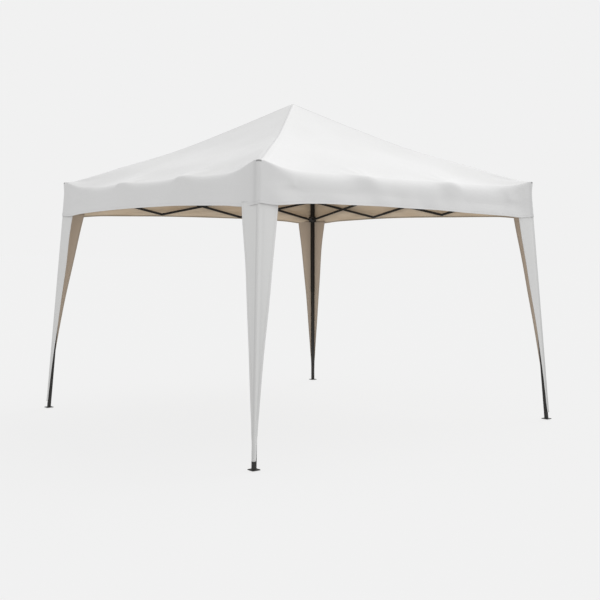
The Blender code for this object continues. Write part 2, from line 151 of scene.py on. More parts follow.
def make_object(name, points, faces, materials, attributes=()):
    """An object with its materials, and its attributes, each (name, one value for each vertex)."""
    mesh = bpy.data.meshes.new(name)
    mesh.from_pydata([tuple(p) for p in points], [], faces)
    for attribute_name, values in attributes:
        kind = "FLOAT_VECTOR" if np.ndim(values) == 2 else "FLOAT"
        attribute = mesh.attributes.new(attribute_name, kind, "POINT")
        field = "vector" if kind == "FLOAT_VECTOR" else "value"
        attribute.data.foreach_set(field, np.asarray(values, np.float32).ravel())
    for material in materials:
        mesh.materials.append(material)
    mesh.shade_smooth()
    obj = bpy.data.objects.new(name, mesh)
    bpy.context.scene.collection.objects.link(obj)
    return obj


def node_tree(name):
    """A geometry node group that takes and gives one geometry, and its helper that adds nodes."""
    tree = bpy.data.node_groups.new(name, "GeometryNodeTree")
    tree.interface.new_socket("Geometry", in_out="INPUT", socket_type="NodeSocketGeometry")
    tree.interface.new_socket("Geometry", in_out="OUTPUT", socket_type="NodeSocketGeometry")

    def add(kind, inputs=(), **settings):
        node = tree.nodes.new(kind)
        for key, value in settings.items():
            setattr(node, key, value)
        for socket, value in inputs:
            if isinstance(value, bpy.types.NodeSocket):
                tree.links.new(value, node.inputs[socket])
            else:
                node.inputs[socket].default_value = value
        return node

    return tree, add


def travel(add, body, relative, full):
    """0 with a body at rest, and 1 where it has moved by its full distance."""
    space = "RELATIVE" if relative else "ORIGINAL"
    info = add("GeometryNodeObjectInfo", (("Object", frame["bodies"][body]),), transform_space=space)
    length = add("ShaderNodeVectorMath", ((0, info.outputs["Location"]),), operation="LENGTH")
    share = add("ShaderNodeMapRange", (("Value", length.outputs["Value"]), ("From Max", full)))
    return share.outputs[0]


def between(add, share, first, second):
    """The first position where share is 0, and the second where it is 1."""
    inputs = (("Factor", share), (4, first), (5, second))
    return add("ShaderNodeMix", inputs, data_type="VECTOR").outputs[1]


def stored(add, name):
    return add("GeometryNodeInputNamedAttribute", (("Name", name),), data_type="FLOAT_VECTOR").outputs[0]


def set_positions(obj, name, tree, add, position):
    """End a node group that moves every point, and give it to an object."""
    start = tree.nodes.new("NodeGroupInput")
    moved = add("GeometryNodeSetPosition", (("Geometry", start.outputs[0]), ("Position", position)))
    end = tree.nodes.new("NodeGroupOutput")
    tree.links.new(moved.outputs[0], end.inputs[0])
    obj.modifiers.new(name, "NODES").node_group = tree


def add_cloth_thickness(obj):
    """Give a sheet its thickness, with the second material on its inner face."""
    solidify = obj.modifiers.new("cloth thickness", "SOLIDIFY")
    solidify.thickness = CLOTH
    solidify.offset = -1
    solidify.material_offset = 1
    solidify.material_offset_rim = 0


# The roof and valance

SIDE_COLUMNS = 160
ROOF_ROWS = 62
ROW_SPACING = 0.85
ROLL_ROWS = 9
EAVE_ROWS = np.arange(1, ROLL_ROWS) / ROLL_ROWS
VALANCE_ROWS = np.concatenate((
    np.linspace(1, 0.30, 15, endpoint=False),
    np.array((0.30, 0.20, 0.135, 0.115, 0.100, 0.094, 0.080, 0.050, 0.020, 0.0)),
))
HEM_WIDTH = 0.022
SEAM_HALF = 0.009

# A corner's radius in plan at the hem and at the eave, its flat top, and the length of the eave's way down
CORNER_RADIUS = 0.026
EAVE_RADIUS = 0.006
CORNER_FLAT = 0.045
CORNER_FALL = 0.42

# How far each side's eave hangs between the truss's pivots, and how far its roll reaches down the valance
SCALLOP = (0.014, 0.018, 0.018, 0.022)
DROOP = (1.6, 1.3, 1.3, 1.5)
MOST_DROOP = 0.60
PANEL_SAG = 0.016
RIPPLE = 0.0022

# The roll over the eave: its size by the pivots, what it gains between them, and its size at the corners
ROLL_TIGHT = 0.034
ROLL_EXTRA = 0.055
ROLL_CRISP = 0.006

# Folds that spread from a place along the side: the place, the folds in a full turn, how far out they are
# strongest, how wide, how high, and between which distances they start
FANS = (
    (EAVE_HALF, 17, 0.22, 0.16, 0.0020, (0.04, 0.12)),
    (NODE_ALONG, 9, 0.12, 0.10, 0.0024, (0.015, 0.06)),
)

# The hem: how high it arches, each side's arch as its middle and its reach, and its dip beside the corners
HEM_ARCH = 0.024
HEM_ARCHES = ((-0.45, 1.30), (0.1, 1.55), (-0.1, 1.55), (0, EAVE_HALF))
HEM_DIP = 0.012
CREASE_HIGH = 0.0100

# The folded roof: shares of the cloth's way from the peak to the eave, and places with the hub at rest
OVER_TOP = 0.12
TURN_UNDER = 0.60
GOING_UP = 0.66
FOLDED_TOP = 0.075
FOLDED_DEPTH = 0.52
FOLDED_EAVE_Z = PEAK_Z - 0.150
FOLDED_HALF = 0.196
BAG_DEPTH = 0.17
BAG_BULGE = 0.045
HANGING_VALANCE = 0.23

# How far the fold carries the back right bracket
FOLD_TRAVEL = 3.4247


def corner_near(along, reach):
    """1 at a side's two ends, and 0 further than reach from them."""
    return 1 - smooth(0, reach, EAVE_HALF - np.abs(along))


def node_near(along, width=0.18):
    """1 at the two places of a side where the truss's upper pivots push the roof up."""
    return bump(np.abs(along), NODE_ALONG, width)


def settled(from_hip):
    """0 on a corner's flat top, then 1 where the eave has come down from the corner."""
    return np.sin(math.pi / 2 * np.clip((from_hip - CORNER_FLAT) / CORNER_FALL, 0, 1))


def roof_height(out, along, side):
    """The roof's height: out runs from 0 at the peak to 1 at the eave."""
    hip = PEAK_Z - (PEAK_Z - CORNER_Z) * through(HIP_SHAPE, out)
    from_hip = out * EAVE_HALF - np.abs(along)
    dip = EAVE_DROP * out**2 * settled(from_hip)
    across = np.clip(np.abs(along) / np.maximum(out * EAVE_HALF, 1e-6), 0, 1)
    sag = PANEL_SAG * np.sin(math.pi * np.clip(out, 0, 1)) * (1 - across**2)
    held = node_near(along)
    near_eave = smooth(0.74, 1.0, out)
    scallop = SCALLOP[side] * near_eave * (1 - held) * settled(from_hip)
    push = 0.4 * SCALLOP[side] * node_near(along, 0.11) * bump(out, 0.955, 0.065)
    fan = fan_wrinkles(out, along, side)
    ripple = RIPPLE * waves(along, out * EAVE_HALF, 31 + side, 7, 0.55) * smooth(0, 0.12, from_hip)
    return hip - dip - sag - scallop + push + fan + ripple * smooth(0.05, 0.3, out)


def fan_wrinkles(out, along, side):
    """Shallow folds that spread over the roof from each corner and each truss pivot."""
    inward = (1 - out) * EAVE_HALF
    total = np.zeros(np.broadcast(out, along).shape)
    rng = np.random.default_rng(70 + side)
    for end in (-1, 1):
        for place, folds, far, wide, high, starts in FANS:
            beside = place - end * along
            distance, angle = np.hypot(beside, inward), np.arctan2(inward, beside)
            fan = np.sin(angle * folds + rng.uniform(0, 6)) * bump(distance, far, wide)
            total += high * fan * smooth(*starts, distance)
    return total


def roll_size(along):
    """How far from the eave the roof starts to turn down: soft between the truss's pivots."""
    soft = ROLL_EXTRA * (1 - node_near(along, 0.12)) + ROLL_TIGHT
    crisp = corner_near(along, 0.50)
    return soft * (1 - crisp) + ROLL_CRISP * crisp


def hem_height(along, side):
    """The height of the valance's hem, which hangs almost straight."""
    wave = 0.0028 * waves(along, 0 * along, 5 + side, 4, 0.8) * (1 - corner_near(along, 0.10))
    middle, reach = HEM_ARCHES[side]
    away = np.clip((along - middle) / reach, -1, 1)
    arch = HEM_ARCH * np.maximum(np.cos(away * math.pi / 2), 0) ** 1.3
    drop = HEM_DIP * bump(np.abs(along), EAVE_HALF - 0.16, 0.14) * (1 - corner_near(along, 0.09))
    return HEM_Z + 0.003 + wave + arch - drop


def valance_bulge(down, along, side):
    """How far the valance stands out of its plane, down from 0 at the eave to 1 at the hem."""
    free = (1 - corner_near(along, 0.16)) * smooth(0.0, 0.25, down)
    billow = 0.0035 * waves(along, down * 0.25, 11 + side, 6, 0.45) * free
    billow = billow + 0.0045 * waves(along * 0.30, down * 0.25, 41 + side, 6, 0.15) * free
    folds = np.zeros(np.broadcast(down, along).shape)
    for end in (-1, 1):
        # A long fold from the truss's pivot down to the corner's middle
        t = (end * along - NODE_ALONG) / (EAVE_HALF - NODE_ALONG)
        line = 0.03 + 0.60 * np.clip(t, 0, 1) ** 1.4
        strength = smooth(-0.05, 0.20, t) * (1 - smooth(0.62, 1.0, t))
        ramp = np.clip(down / line, 0, 1) ** 1.3 * (1 - smooth(0, 0.16, down - line))
        folds += CREASE_HIGH * strength * ramp
        folds -= 0.0020 * strength * bump(down, line + 0.26, 0.12)
        t = (NODE_ALONG - end * along) / NODE_ALONG
        strength = smooth(-0.02, 0.12, t) * (1 - smooth(0.55, 0.95, t))
        folds += 0.0030 * strength * bump(down, 0.10 + 0.35 * np.clip(t, 0, 1), 0.10)
    pucker = 0.0007 * np.sin(along * 2 * math.pi / 0.021 + 2 * np.sin(along * 9)) * bump(down, 0.93, 0.06)
    return billow + folds + pucker


def hem_band(distance):
    """The extra height of a doubled hem or seam at a distance from its middle line."""
    return 0.0011 * (1 - smooth(0.88, 1.0, distance))


def round_corner(across, half, radius):
    """Plan positions on a square with round corners. across is -1 to 1 along the side at y = -half."""
    radius = np.minimum(radius, half * 0.9)
    along = across * half
    past = np.clip((np.abs(along) - (half - radius)) / np.maximum(radius, 1e-9), 0, 1)
    angle = past * math.pi / 4
    straight = np.minimum(np.abs(along), half - radius)
    x = np.sign(across) * (straight + radius * np.sin(angle))
    y = -(half - radius) - radius * np.cos(angle)
    return x, y


def side_columns():
    """Where a side's columns stand, from -1 to just before 1, closer together by the corners."""
    even = np.arange(SIDE_COLUMNS) / SIDE_COLUMNS * 2 - 1
    return 1.32 * even - 0.32 * even**3


def side_of_roof(side):
    """A side's grid of points, from the peak's first ring to the hem."""
    across = side_columns()[None, :]
    along = across * EAVE_HALF
    roll = roll_size(along)
    edge_z = roof_height(np.ones_like(along), along, side)
    hem_z = hem_height(along, side)
    fall = edge_z - hem_z

    # The roof, down to where it starts to roll over the eave
    t = (np.arange(1, ROOF_ROWS + 1) / ROOF_ROWS)[:, None]
    out = t**ROW_SPACING * (1 - roll / EAVE_HALF)
    radius = 0.004 * out
    x, y = round_corner(np.broadcast_to(across, out.shape), out * EAVE_HALF, radius)
    z = roof_height(out, across * out * EAVE_HALF, side)
    from_hip = (1 - np.abs(across)) * out * EAVE_HALF
    z = z + hem_band(from_hip / SEAM_HALF)
    roof = np.stack((x, y, z), axis=-1)

    # The valance, from where the roll ends to the hem
    above_hem = VALANCE_ROWS[:, None]
    roll_share = np.minimum(DROOP[side] * roll / fall, MOST_DROOP)
    down = 1 - above_hem * (1 - roll_share)
    tucked = 0.007 * np.sin(math.pi * down) * (1 - corner_near(along, 0.25))
    half = EAVE_HALF + VALANCE_LEAN * down**1.5 - tucked
    half = half + valance_bulge(down, along, side) + hem_band((1 - down) * fall / HEM_WIDTH)
    radius = EAVE_RADIUS + (CORNER_RADIUS - EAVE_RADIUS) * smooth(0, 0.35, down)
    x, y = round_corner(np.broadcast_to(across, half.shape), half, radius)
    valance = np.stack((x, y, edge_z - fall * down), axis=-1)

    # The roll between them: a quadratic curve whose middle point is the eave's sharp corner
    x, y = round_corner(across, EAVE_HALF + 0 * across, EAVE_RADIUS)
    corner = np.stack((x, y, edge_z), axis=-1)
    t = EAVE_ROWS[:, None, None]
    curve = (1 - t) ** 2 * roof[-1:] + 2 * t * (1 - t) * corner + t**2 * valance[:1]
    return np.concatenate((roof, curve, valance))


def cloth_distances(points):
    """How far each point is from the first row, measured down its column."""
    steps = np.linalg.norm(np.diff(points, axis=0), axis=-1)
    return np.concatenate((np.zeros((1, points.shape[1])), np.cumsum(steps, axis=0)))


def folded_side(side):
    """The same grid where the frame is folded, with the hub in its place at rest.

    The cloth goes over the top, down outside the frame in three bags a side, turns under and comes
    back up to the brackets and the truss's pivots, and the valance hangs inside the bags.
    """
    rng = np.random.default_rng(900 + side)
    across = side_columns()[None, :]
    node = NODE_ALONG / EAVE_HALF
    narrow = np.interp(np.abs(across), (0, node, 1), (0, 0.31, 1)) * np.sign(across)
    part = np.where(np.abs(across) < node, across / node / 2 + 0.5, (np.abs(across) - node) / (1 - node))
    slack = np.sin(math.pi * np.clip(part, 0, 1)) ** 2
    bag = np.sign(across) * (np.abs(across) > node)
    first, last, middle = (rng.uniform(-1, 1) for _ in range(3))
    uneven = np.where(bag < 0, first, np.where(bag > 0, last, middle))

    even = (np.arange(1, ROOF_ROWS + 1) / ROOF_ROWS) ** ROW_SPACING
    s = np.concatenate((even, np.ones(len(EAVE_ROWS)), np.ones(len(VALANCE_ROWS))))[:, None]
    down = np.concatenate((0 * even, EAVE_ROWS * 0.02, 1 - VALANCE_ROWS))[:, None]
    lumps = np.sin(across * 13 + rng.uniform(0, 6))
    depth = FOLDED_DEPTH + (BAG_DEPTH + 0.04 * uneven + 0.035 * lumps) * slack
    bottom = PEAK_Z - FOLDED_TOP - depth
    eave = FOLDED_EAVE_Z - 0.36 * slack**0.8

    over = np.clip(s / OVER_TOP, 0, 1) * math.pi / 2
    outer = np.clip((s - OVER_TOP) / (TURN_UNDER - OVER_TOP), 0, 1)
    under = np.clip((s - TURN_UNDER) / (GOING_UP - TURN_UNDER), 0, 1)
    inner = np.clip((s - GOING_UP) / (1 - GOING_UP), 0, 1)
    z = PEAK_Z - FOLDED_TOP * (1 - np.cos(over)) - depth * outer**0.92
    z = z - 0.030 * np.sin(math.pi * under) + (eave - bottom) * inner - HANGING_VALANCE * down
    shift = 4.5 * np.sin(across * 5 + rng.uniform(0, 6)) + 2.2 * np.sin(outer * 3 + side)
    pleat = np.sin(across * 31 + shift + rng.uniform(0, 6))
    fine = np.sin(across * 67 + 3 * outer + 3 * np.sin(across * 9 + side) + rng.uniform(0, 6))
    falls = smooth(0.0, 0.12, outer) * (1 - under)
    belly = BAG_BULGE * slack * np.sin(math.pi * outer**1.5 * 0.9)
    bulge = falls * (belly + 0.012 * pleat + 0.004 * fine)
    half = FOLDED_HALF * np.sin(over) + 0.030 * smooth(0, 0.15, outer) + 0.020 * outer + bulge
    half = half + 0.016 * np.sin(across * 6 + 3 * outer + rng.uniform(0, 6)) * falls
    half = half - 0.052 * under - 0.002 * inner + 0.003 * pleat * under - 0.008 * smooth(0, 0.05, down)
    half = half + 0.010 * np.sin(over) * pleat * (1 - smooth(0, 0.1, outer))
    radius = np.minimum(0.05, half * 0.5)
    x, y = round_corner(np.broadcast_to(narrow, half.shape), half, radius)
    return np.stack((x, y, np.broadcast_to(z, x.shape)), axis=-1)


def fold_roof(obj):
    """Gather the roof as the frame folds."""
    tree, add = node_tree("roof fold")
    share = travel(add, "bracket_back_right", False, FOLD_TRAVEL)
    rest = add("GeometryNodeInputPosition").outputs[0]
    set_positions(obj, "fold", tree, add, between(add, share, rest, stored(add, "folded")))


def build_roof(outside, inside):
    """The roof and its valance as one sheet, with the places that its material and its folding need."""
    sides = [turn(side_of_roof(side), side) for side in range(4)]
    grid = np.concatenate(sides, axis=1)
    folded = np.concatenate([turn(folded_side(side), side) for side in range(4)], axis=1)
    rows, columns = grid.shape[:2]
    across = np.tile(side_columns(), 4)
    down = cloth_distances(grid) + 0.03
    total = down[-1:]
    half = np.minimum(np.abs(grid[..., 0]), np.abs(grid[..., 1]))
    reach = np.maximum(np.abs(grid[..., 0]), np.abs(grid[..., 1]))
    from_hip = reach - half
    is_roof = np.arange(rows)[:, None] < ROOF_ROWS
    side_number = np.repeat(np.arange(4), SIDE_COLUMNS)[None, :]
    along = np.where(is_roof, across[None, :] * reach, across[None, :] * EAVE_HALF)
    uv = np.stack((along + 4 * side_number, down, 0 * down), axis=-1)
    from_hem = total - down

    # The valance is painted darker as shade, more so near its corners and in an upright band beside each
    # side's last corner
    corner_band_shade = 1.1 * bump(EAVE_HALF - along, 0.034, 0.020)
    painted_shade = np.where(is_roof, 0.0, 0.45 + 0.35 * corner_near(along, 0.30) + corner_band_shade)
    from_corner = np.where(is_roof, from_hip, EAVE_HALF - np.abs(along))
    tab = np.stack(np.broadcast_arrays(from_corner, down - down[ROOF_ROWS + ROLL_ROWS // 2], 0.0), axis=-1)
    seam = np.where(is_roof, from_hip, 1.0)
    stitch_along = np.where(is_roof, down, along + 4 * side_number)

    peak = np.array((0, 0, PEAK_Z))
    points = np.vstack((grid.reshape(-1, 3), peak))
    faces = grid_faces(rows, columns, closed=True)
    last = len(points) - 1
    faces += [(last, (column + 1) % columns, column) for column in range(columns)]
    faces = [face[::-1] for face in faces]

    def with_peak(values, value):
        flat = values.reshape(-1, *values.shape[2:])
        return np.concatenate((flat, [value]))

    attributes = (
        ("cloth", with_peak(uv, (0, 0, 0))),
        ("seam", with_peak(seam, 0.0)),
        ("hem", with_peak(from_hem, 1.0)),
        ("stitch_along", with_peak(stitch_along, 0.0)),
        # backed carries the painted shade of the valance and its corners
        ("painted_shade", with_peak(painted_shade, 0.0)),
        ("tab", with_peak(tab, (1, 1, 0))),
        ("folded", with_peak(folded, (0, 0, PEAK_Z))),
    )
    return make_object("roof_fabric", points, faces, (outside, inside), attributes)


# The leg covers

COVER_ROWS = 96
COVER_COLUMNS = 20
UNDER_VALANCE = 0.018
COVER_OUTSIDE = 0.0195
COVER_HEM = 0.012
COVER_LOW_HEM = 0.015

# A wing's width at its top and foot. For each corner, its two wings' top widths as a share of that, and how
# fast they narrow, starting with the wing where across is below 0.
COVER_TOP_WIDE = 0.172
COVER_LOW_WIDE = 0.0225
COVER_WINGS = (
    ((1.00, 1.33), (1.00, 1.33)),
    ((1.14, 1.28), (1.19, 1.21)),
    ((1.10, 1.31), (1.10, 1.31)),
    ((1.20, 1.55), (1.18, 1.06)),
)

# How much of a wing's width its pleats take up where the frame is folded, and how much of a cover's length
# its heaps take up where its leg is shortened. Heaps are deeper at the wings' free edges.
GATHERED = 0.66
PLEAT = 0.052
PLEAT_DEEP = 0.013
BUNCHED = 0.497
HEAPS = 12
HEAP_DEEP = 0.010
HEAP_EXTRA = 0.020


def leg_half(z):
    """The distance from the middle to a leg's centre line at a height."""
    foot = abs(frame["record"]["mounts"][0]["pos_m"][0])
    pin = JOINTS["leg_tilt_front_left"]["pos_m"]
    return foot + (abs(pin[0]) - foot) * z / pin[2]


def cover_points(corner, gather, bunch):
    """A cover's grid of points, at rest or with its wings gathered or its length bunched up (0 or 1)."""
    low, high = COVER_BOX[0].z, COVER_BOX[1].z + UNDER_VALANCE
    rng = np.random.default_rng(200 + corner)
    t = (np.arange(COVER_ROWS + 1) / COVER_ROWS)[:, None]
    z = high + (low - high) * t * (1 - BUNCHED * bunch)

    # across is -1 at one free edge, 0 on the fold and 1 at the other
    base = np.linspace(-1, 1, 2 * COVER_COLUMNS + 1)[None, :]
    across = np.sign(base) * np.abs(base) ** 1.15
    share, taper = (np.where(base < 0, *pair) for pair in zip(*COVER_WINGS[corner]))
    wide = COVER_LOW_WIDE + (COVER_TOP_WIDE * share - COVER_LOW_WIDE) * (1 - t) ** taper
    wide = wide + 0.0025 * np.sin(t * 9 + rng.uniform(0, 6)) * (1 - t)
    distance = np.abs(across) * wide
    radius = 0.006 + 0.007 * (1 - t)
    past = np.clip(1 - distance / radius, 0, 1)
    angle = past * math.pi / 4
    outer = leg_half(z) + COVER_OUTSIDE

    # Distances inward from the corner's two planes: along the wing, and off its plane
    straight = np.maximum(distance - radius, 0)
    gathered = 1 - (1 - GATHERED) / share
    inward = radius + straight * (1 - gathered * gather) - radius * np.sin(angle) * (past > 0)
    off = radius - radius * np.cos(angle)

    # The wing billows towards its free edge, is pressed in beside the fold, and is creased near the foot
    free_edge = np.clip((distance - 0.035) / 0.13, 0, 1)
    seed = rng.uniform(0, 6, 4)
    billow = 0.0045 * np.sin(z * 5.1 + seed[0] + across * 1.4) + 0.0025 * np.sin(z * 11.3 + seed[1])
    curl = 0.006 * (0.6 + 0.4 * np.sin(z * 3.3 + seed[2] + np.sign(across)))
    off = off + free_edge * (billow + curl * free_edge) * (1 - 0.9 * gather)
    groove = bump(distance, 0.036 - 0.012 * t, 0.011) * (0.4 + 0.6 * t)
    off = off + 0.0038 * groove * (1 - free_edge)
    creases = np.sin(z * 46 + across * 3 + seed[3]) * bump(distance, 0.02, 0.02)
    off = off + 0.0012 * creases * smooth(0.7, 1, t)
    off = off - hem_band((wide - distance) / COVER_HEM)
    off = off - hem_band((1 - t) * (high - low) / COVER_LOW_HEM)

    wander = 0.6 * np.sin(t * 11 + seed[0]) * free_edge
    pleat = 0.5 - 0.5 * np.cos(straight * 2 * math.pi / PLEAT + wander)
    off = off - PLEAT_DEEP * pleat * gather
    heap = 0.5 - 0.5 * np.cos(2 * math.pi * (HEAPS * t + 0.25 * np.sin(across * 2.5 + seed[1] + 9 * t)))
    heaped = bunch * (1 - 0.4 * gather) * smooth(0.05 + 0.35 * gather, 0.22 + 0.43 * gather, t)
    off = off - (HEAP_DEEP + HEAP_EXTRA * free_edge) * heap * heaped
    a, b = outer - inward, outer - off
    x = np.where(across < 0, -b, -a)
    y = np.where(across < 0, -a, -b)
    grid = turn(np.stack((x, y, np.broadcast_to(z, x.shape)), axis=-1), corner)
    return grid, across * wide, wide - distance, (1 - t) * (high - low) + 0 * distance


def fold_cover(obj, corner):
    """Gather a cover's wings as the frame folds, and bunch it up as its leg is shortened."""
    tree, add = node_tree(f"cover fold {corner}")
    folded = travel(add, "bracket_back_right", False, FOLD_TRAVEL)
    shorter = travel(add, f"inner_leg_{corner}", True, JOINTS[f"leg_height_{corner}"]["range_m"][1])
    rest = add("GeometryNodeInputPosition").outputs[0]
    straight = between(add, folded, rest, stored(add, "gathered"))
    heaped = between(add, folded, stored(add, "bunched"), stored(add, "gathered_bunched"))
    set_positions(obj, "fold", tree, add, between(add, shorter, straight, heaped))


def build_leg_cover(corner, outside, inside):
    """A folded strip of fabric round a leg's outer corner, widest under the valance."""
    grid, along, from_edge, from_low = cover_points(corner, 0, 0)
    rows, columns = grid.shape[:2]
    # Painted shade in the groove beside the fold, and painted shade that darkens the cloth by the fold
    # towards the foot
    lower = 1 - from_low / from_low.max()
    fold_shade = 1.5 * bump(along, -0.011, 0.007) + 0.9 * bump(along, 0.0, 0.10) * lower
    cloth = np.stack((along + 20 + corner, from_low, 0 * from_low), axis=-1)
    attributes = [
        ("cloth", cloth.reshape(-1, 3)),
        ("seam", np.full(rows * columns, 1.0)),
        ("hem", np.minimum(from_edge, from_low).ravel()),
        ("stitch_along", from_low.ravel()),
        # The painted shade of the fold goes in the backed attribute
        ("painted_shade", fold_shade.ravel()),
        ("tab", np.ones((rows * columns, 3))),
    ]
    for name, gather, bunch in (("gathered", 1, 0), ("bunched", 0, 1), ("gathered_bunched", 1, 1)):
        attributes.append((name, cover_points(corner, gather, bunch)[0].reshape(-1, 3)))
    name = f"leg_sleeve_{CORNERS[corner]}"
    faces = [face[::-1] for face in grid_faces(rows, columns)]
    return make_object(name, grid.reshape(-1, 3), faces, (outside, inside), attributes)


# Materials

# The pitch of the weave and of the stitches, how far the stitches are from a seam and from an edge, and the
# dark tab at the top of each corner
YARN = 0.0011
STITCH = 0.0042
SEAM_STITCH = 0.0065
HEM_STITCH = 0.0175
TAB_HALF_WIDE = 0.026
TAB_HALF_TALL = 0.009


def times(colour, share):
    """A colour made darker or lighter."""
    return tuple(share * c for c in colour)


class Shader:
    """A material under construction, with short names for the nodes used here."""

    def __init__(self, name, colour, roughness):
        self.material = bpy.data.materials.new(name)
        self.material.use_nodes = True
        self.tree = self.material.node_tree
        self.main = self.tree.nodes["Principled BSDF"]
        self.main.inputs["Base Color"].default_value = (*colour, 1)
        self.main.inputs["Roughness"].default_value = roughness
        self.position = self.node("ShaderNodeTexCoord").outputs["Object"]

    def node(self, kind, **settings):
        node = self.tree.nodes.new(kind)
        for key, value in settings.items():
            setattr(node, key, value)
        return node

    def feed(self, socket, value):
        if isinstance(value, bpy.types.NodeSocket):
            self.tree.links.new(value, socket)
        else:
            socket.default_value = value

    def math(self, operation, a, b=0.0):
        node = self.node("ShaderNodeMath", operation=operation)
        self.feed(node.inputs[0], a)
        self.feed(node.inputs[1], b)
        return node.outputs[0]

    def attribute(self, name):
        return self.node("ShaderNodeAttribute", attribute_name=name)

    def noise(self, scale, detail, vector=None, stretch=None):
        vector = vector or self.position
        if stretch:
            mapping = self.node("ShaderNodeMapping")
            mapping.inputs["Scale"].default_value = stretch
            self.feed(mapping.inputs["Vector"], vector)
            vector = mapping.outputs[0]
        node = self.node("ShaderNodeTexNoise")
        self.feed(node.inputs["Vector"], vector)
        node.inputs["Scale"].default_value = scale
        node.inputs["Detail"].default_value = detail
        return node.outputs["Fac"]

    def spread(self, value, low, high, to_low=0.0, to_high=1.0):
        """Map a value from one range to another, clamped."""
        node = self.node("ShaderNodeMapRange")
        self.feed(node.inputs["Value"], value)
        node.inputs["From Min"].default_value = low
        node.inputs["From Max"].default_value = high
        node.inputs["To Min"].default_value = to_low
        node.inputs["To Max"].default_value = to_high
        return node.outputs[0]

    def mix(self, factor, first, second):
        node = self.node("ShaderNodeMix", data_type="RGBA")
        self.feed(node.inputs["Factor"], factor)
        for socket, value in ((node.inputs[6], first), (node.inputs[7], second)):
            if not isinstance(value, bpy.types.NodeSocket):
                value = (*value, 1)
            self.feed(socket, value)
        return node.outputs[2]

    def bump(self, height, distance, strength, normal=None):
        node = self.node("ShaderNodeBump")
        node.inputs["Strength"].default_value = strength
        node.inputs["Distance"].default_value = distance
        self.feed(node.inputs["Height"], height)
        if normal:
            self.feed(node.inputs["Normal"], normal)
        return node.outputs[0]

    def finish(self, colour, roughness, normal):
        for socket, value in (("Base Color", colour), ("Roughness", roughness), ("Normal", normal)):
            self.feed(self.main.inputs[socket], value)
        return self.material


def woven_cloth(name, colour, shade, roughness, sheen, edge):
    """Plain woven polyester, with the stitch lines of its hems and seams. edge sets how dark the painted
    shadow along its hems is.
    """
    s = Shader(name, colour, roughness)
    s.main.inputs["Sheen Weight"].default_value = sheen
    s.main.inputs["Sheen Roughness"].default_value = 0.5
    s.main.inputs["Specular IOR Level"].default_value = 0.25
    cloth = s.attribute("cloth").outputs["Vector"]
    parts = s.node("ShaderNodeSeparateXYZ")
    s.feed(parts.inputs[0], cloth)
    yarn = 2 * math.pi / YARN
    warp = s.math("SINE", s.math("MULTIPLY", parts.outputs[0], yarn))
    weft = s.math("SINE", s.math("MULTIPLY", parts.outputs[1], yarn))
    weave = s.math("MULTIPLY", warp, weft)
    slub = s.noise(90, 2.0, cloth, (1, 9, 1))

    # A row of stitches on each side of a seam, and one along each hem
    painted_shade = s.attribute("painted_shade").outputs["Fac"]
    seam = s.attribute("seam").outputs["Fac"]
    hem = s.attribute("hem").outputs["Fac"]
    run = s.attribute("stitch_along").outputs["Fac"]
    beside_seam = s.math("ABSOLUTE", s.math("SUBTRACT", seam, SEAM_STITCH))
    beside_hem = s.math("ABSOLUTE", s.math("SUBTRACT", hem, HEM_STITCH))
    line = s.spread(s.math("MINIMUM", beside_seam, beside_hem), 0.0006, 0.0013, 1.0, 0.0)
    dash = s.spread(s.math("SINE", s.math("MULTIPLY", run, 2 * math.pi / STITCH)), -0.5, -0.1)
    stitch = s.math("MULTIPLY", line, dash)

    # From the plain cloth to what shows over it: soil, painted shade, painted shade along the hip seams,
    # painted shadow along the hems, slubs, the weave and stitches
    soil = s.spread(s.noise(2.3, 4.0), 0.35, 0.75)
    base = s.mix(s.math("MULTIPLY", soil, 0.5), colour, shade)
    # Painted shade on the valance, its corners and beside the covers' folds
    base = s.mix(s.math("MULTIPLY", painted_shade, 0.5), base, times(colour, 0.80))
    # The doubled hip seam band is painted darker as shade
    doubled = s.spread(seam, 0.0075, 0.0090, 1.0, 0.0)
    base = s.mix(s.math("MULTIPLY", doubled, 0.5), base, times(colour, 0.78))
    # A painted shadow along each hem, as dark as edge sets
    hem_shadow = s.spread(hem, 0.010, 0.013, edge, 0.0)
    base = s.mix(hem_shadow, base, times(colour, 0.30))
    base = s.mix(s.spread(slub, 0.3, 0.8, 0.0, 0.10), base, times(colour, 0.86))
    base = s.mix(s.spread(weave, -1, 1, 0.06, 0.0), base, times(colour, 0.5))
    base = s.mix(s.math("MULTIPLY", stitch, 0.30), base, times(colour, 0.45))

    # The end of the hip's webbing shows as a dark tab at the top of each corner
    tab = s.node("ShaderNodeSeparateXYZ")
    s.feed(tab.inputs[0], s.attribute("tab").outputs["Vector"])
    wide = s.math("DIVIDE", tab.outputs[0], TAB_HALF_WIDE)
    tall = s.math("DIVIDE", s.math("ABSOLUTE", tab.outputs[1]), TAB_HALF_TALL)
    webbing = s.spread(s.math("MAXIMUM", wide, tall), 0.9, 1.0, 1.0, 0.0)
    base = s.mix(webbing, base, times(colour, 0.40))

    creases = s.bump(s.noise(11, 4.0), 0.004, 0.25)
    woven = s.bump(weave, 0.00012, 0.5, creases)
    sewn = s.bump(stitch, -0.0006, 0.8, woven)
    rough = s.spread(slub, 0.2, 0.9, roughness - 0.06, roughness + 0.06)
    return s.finish(base, rough, sewn)


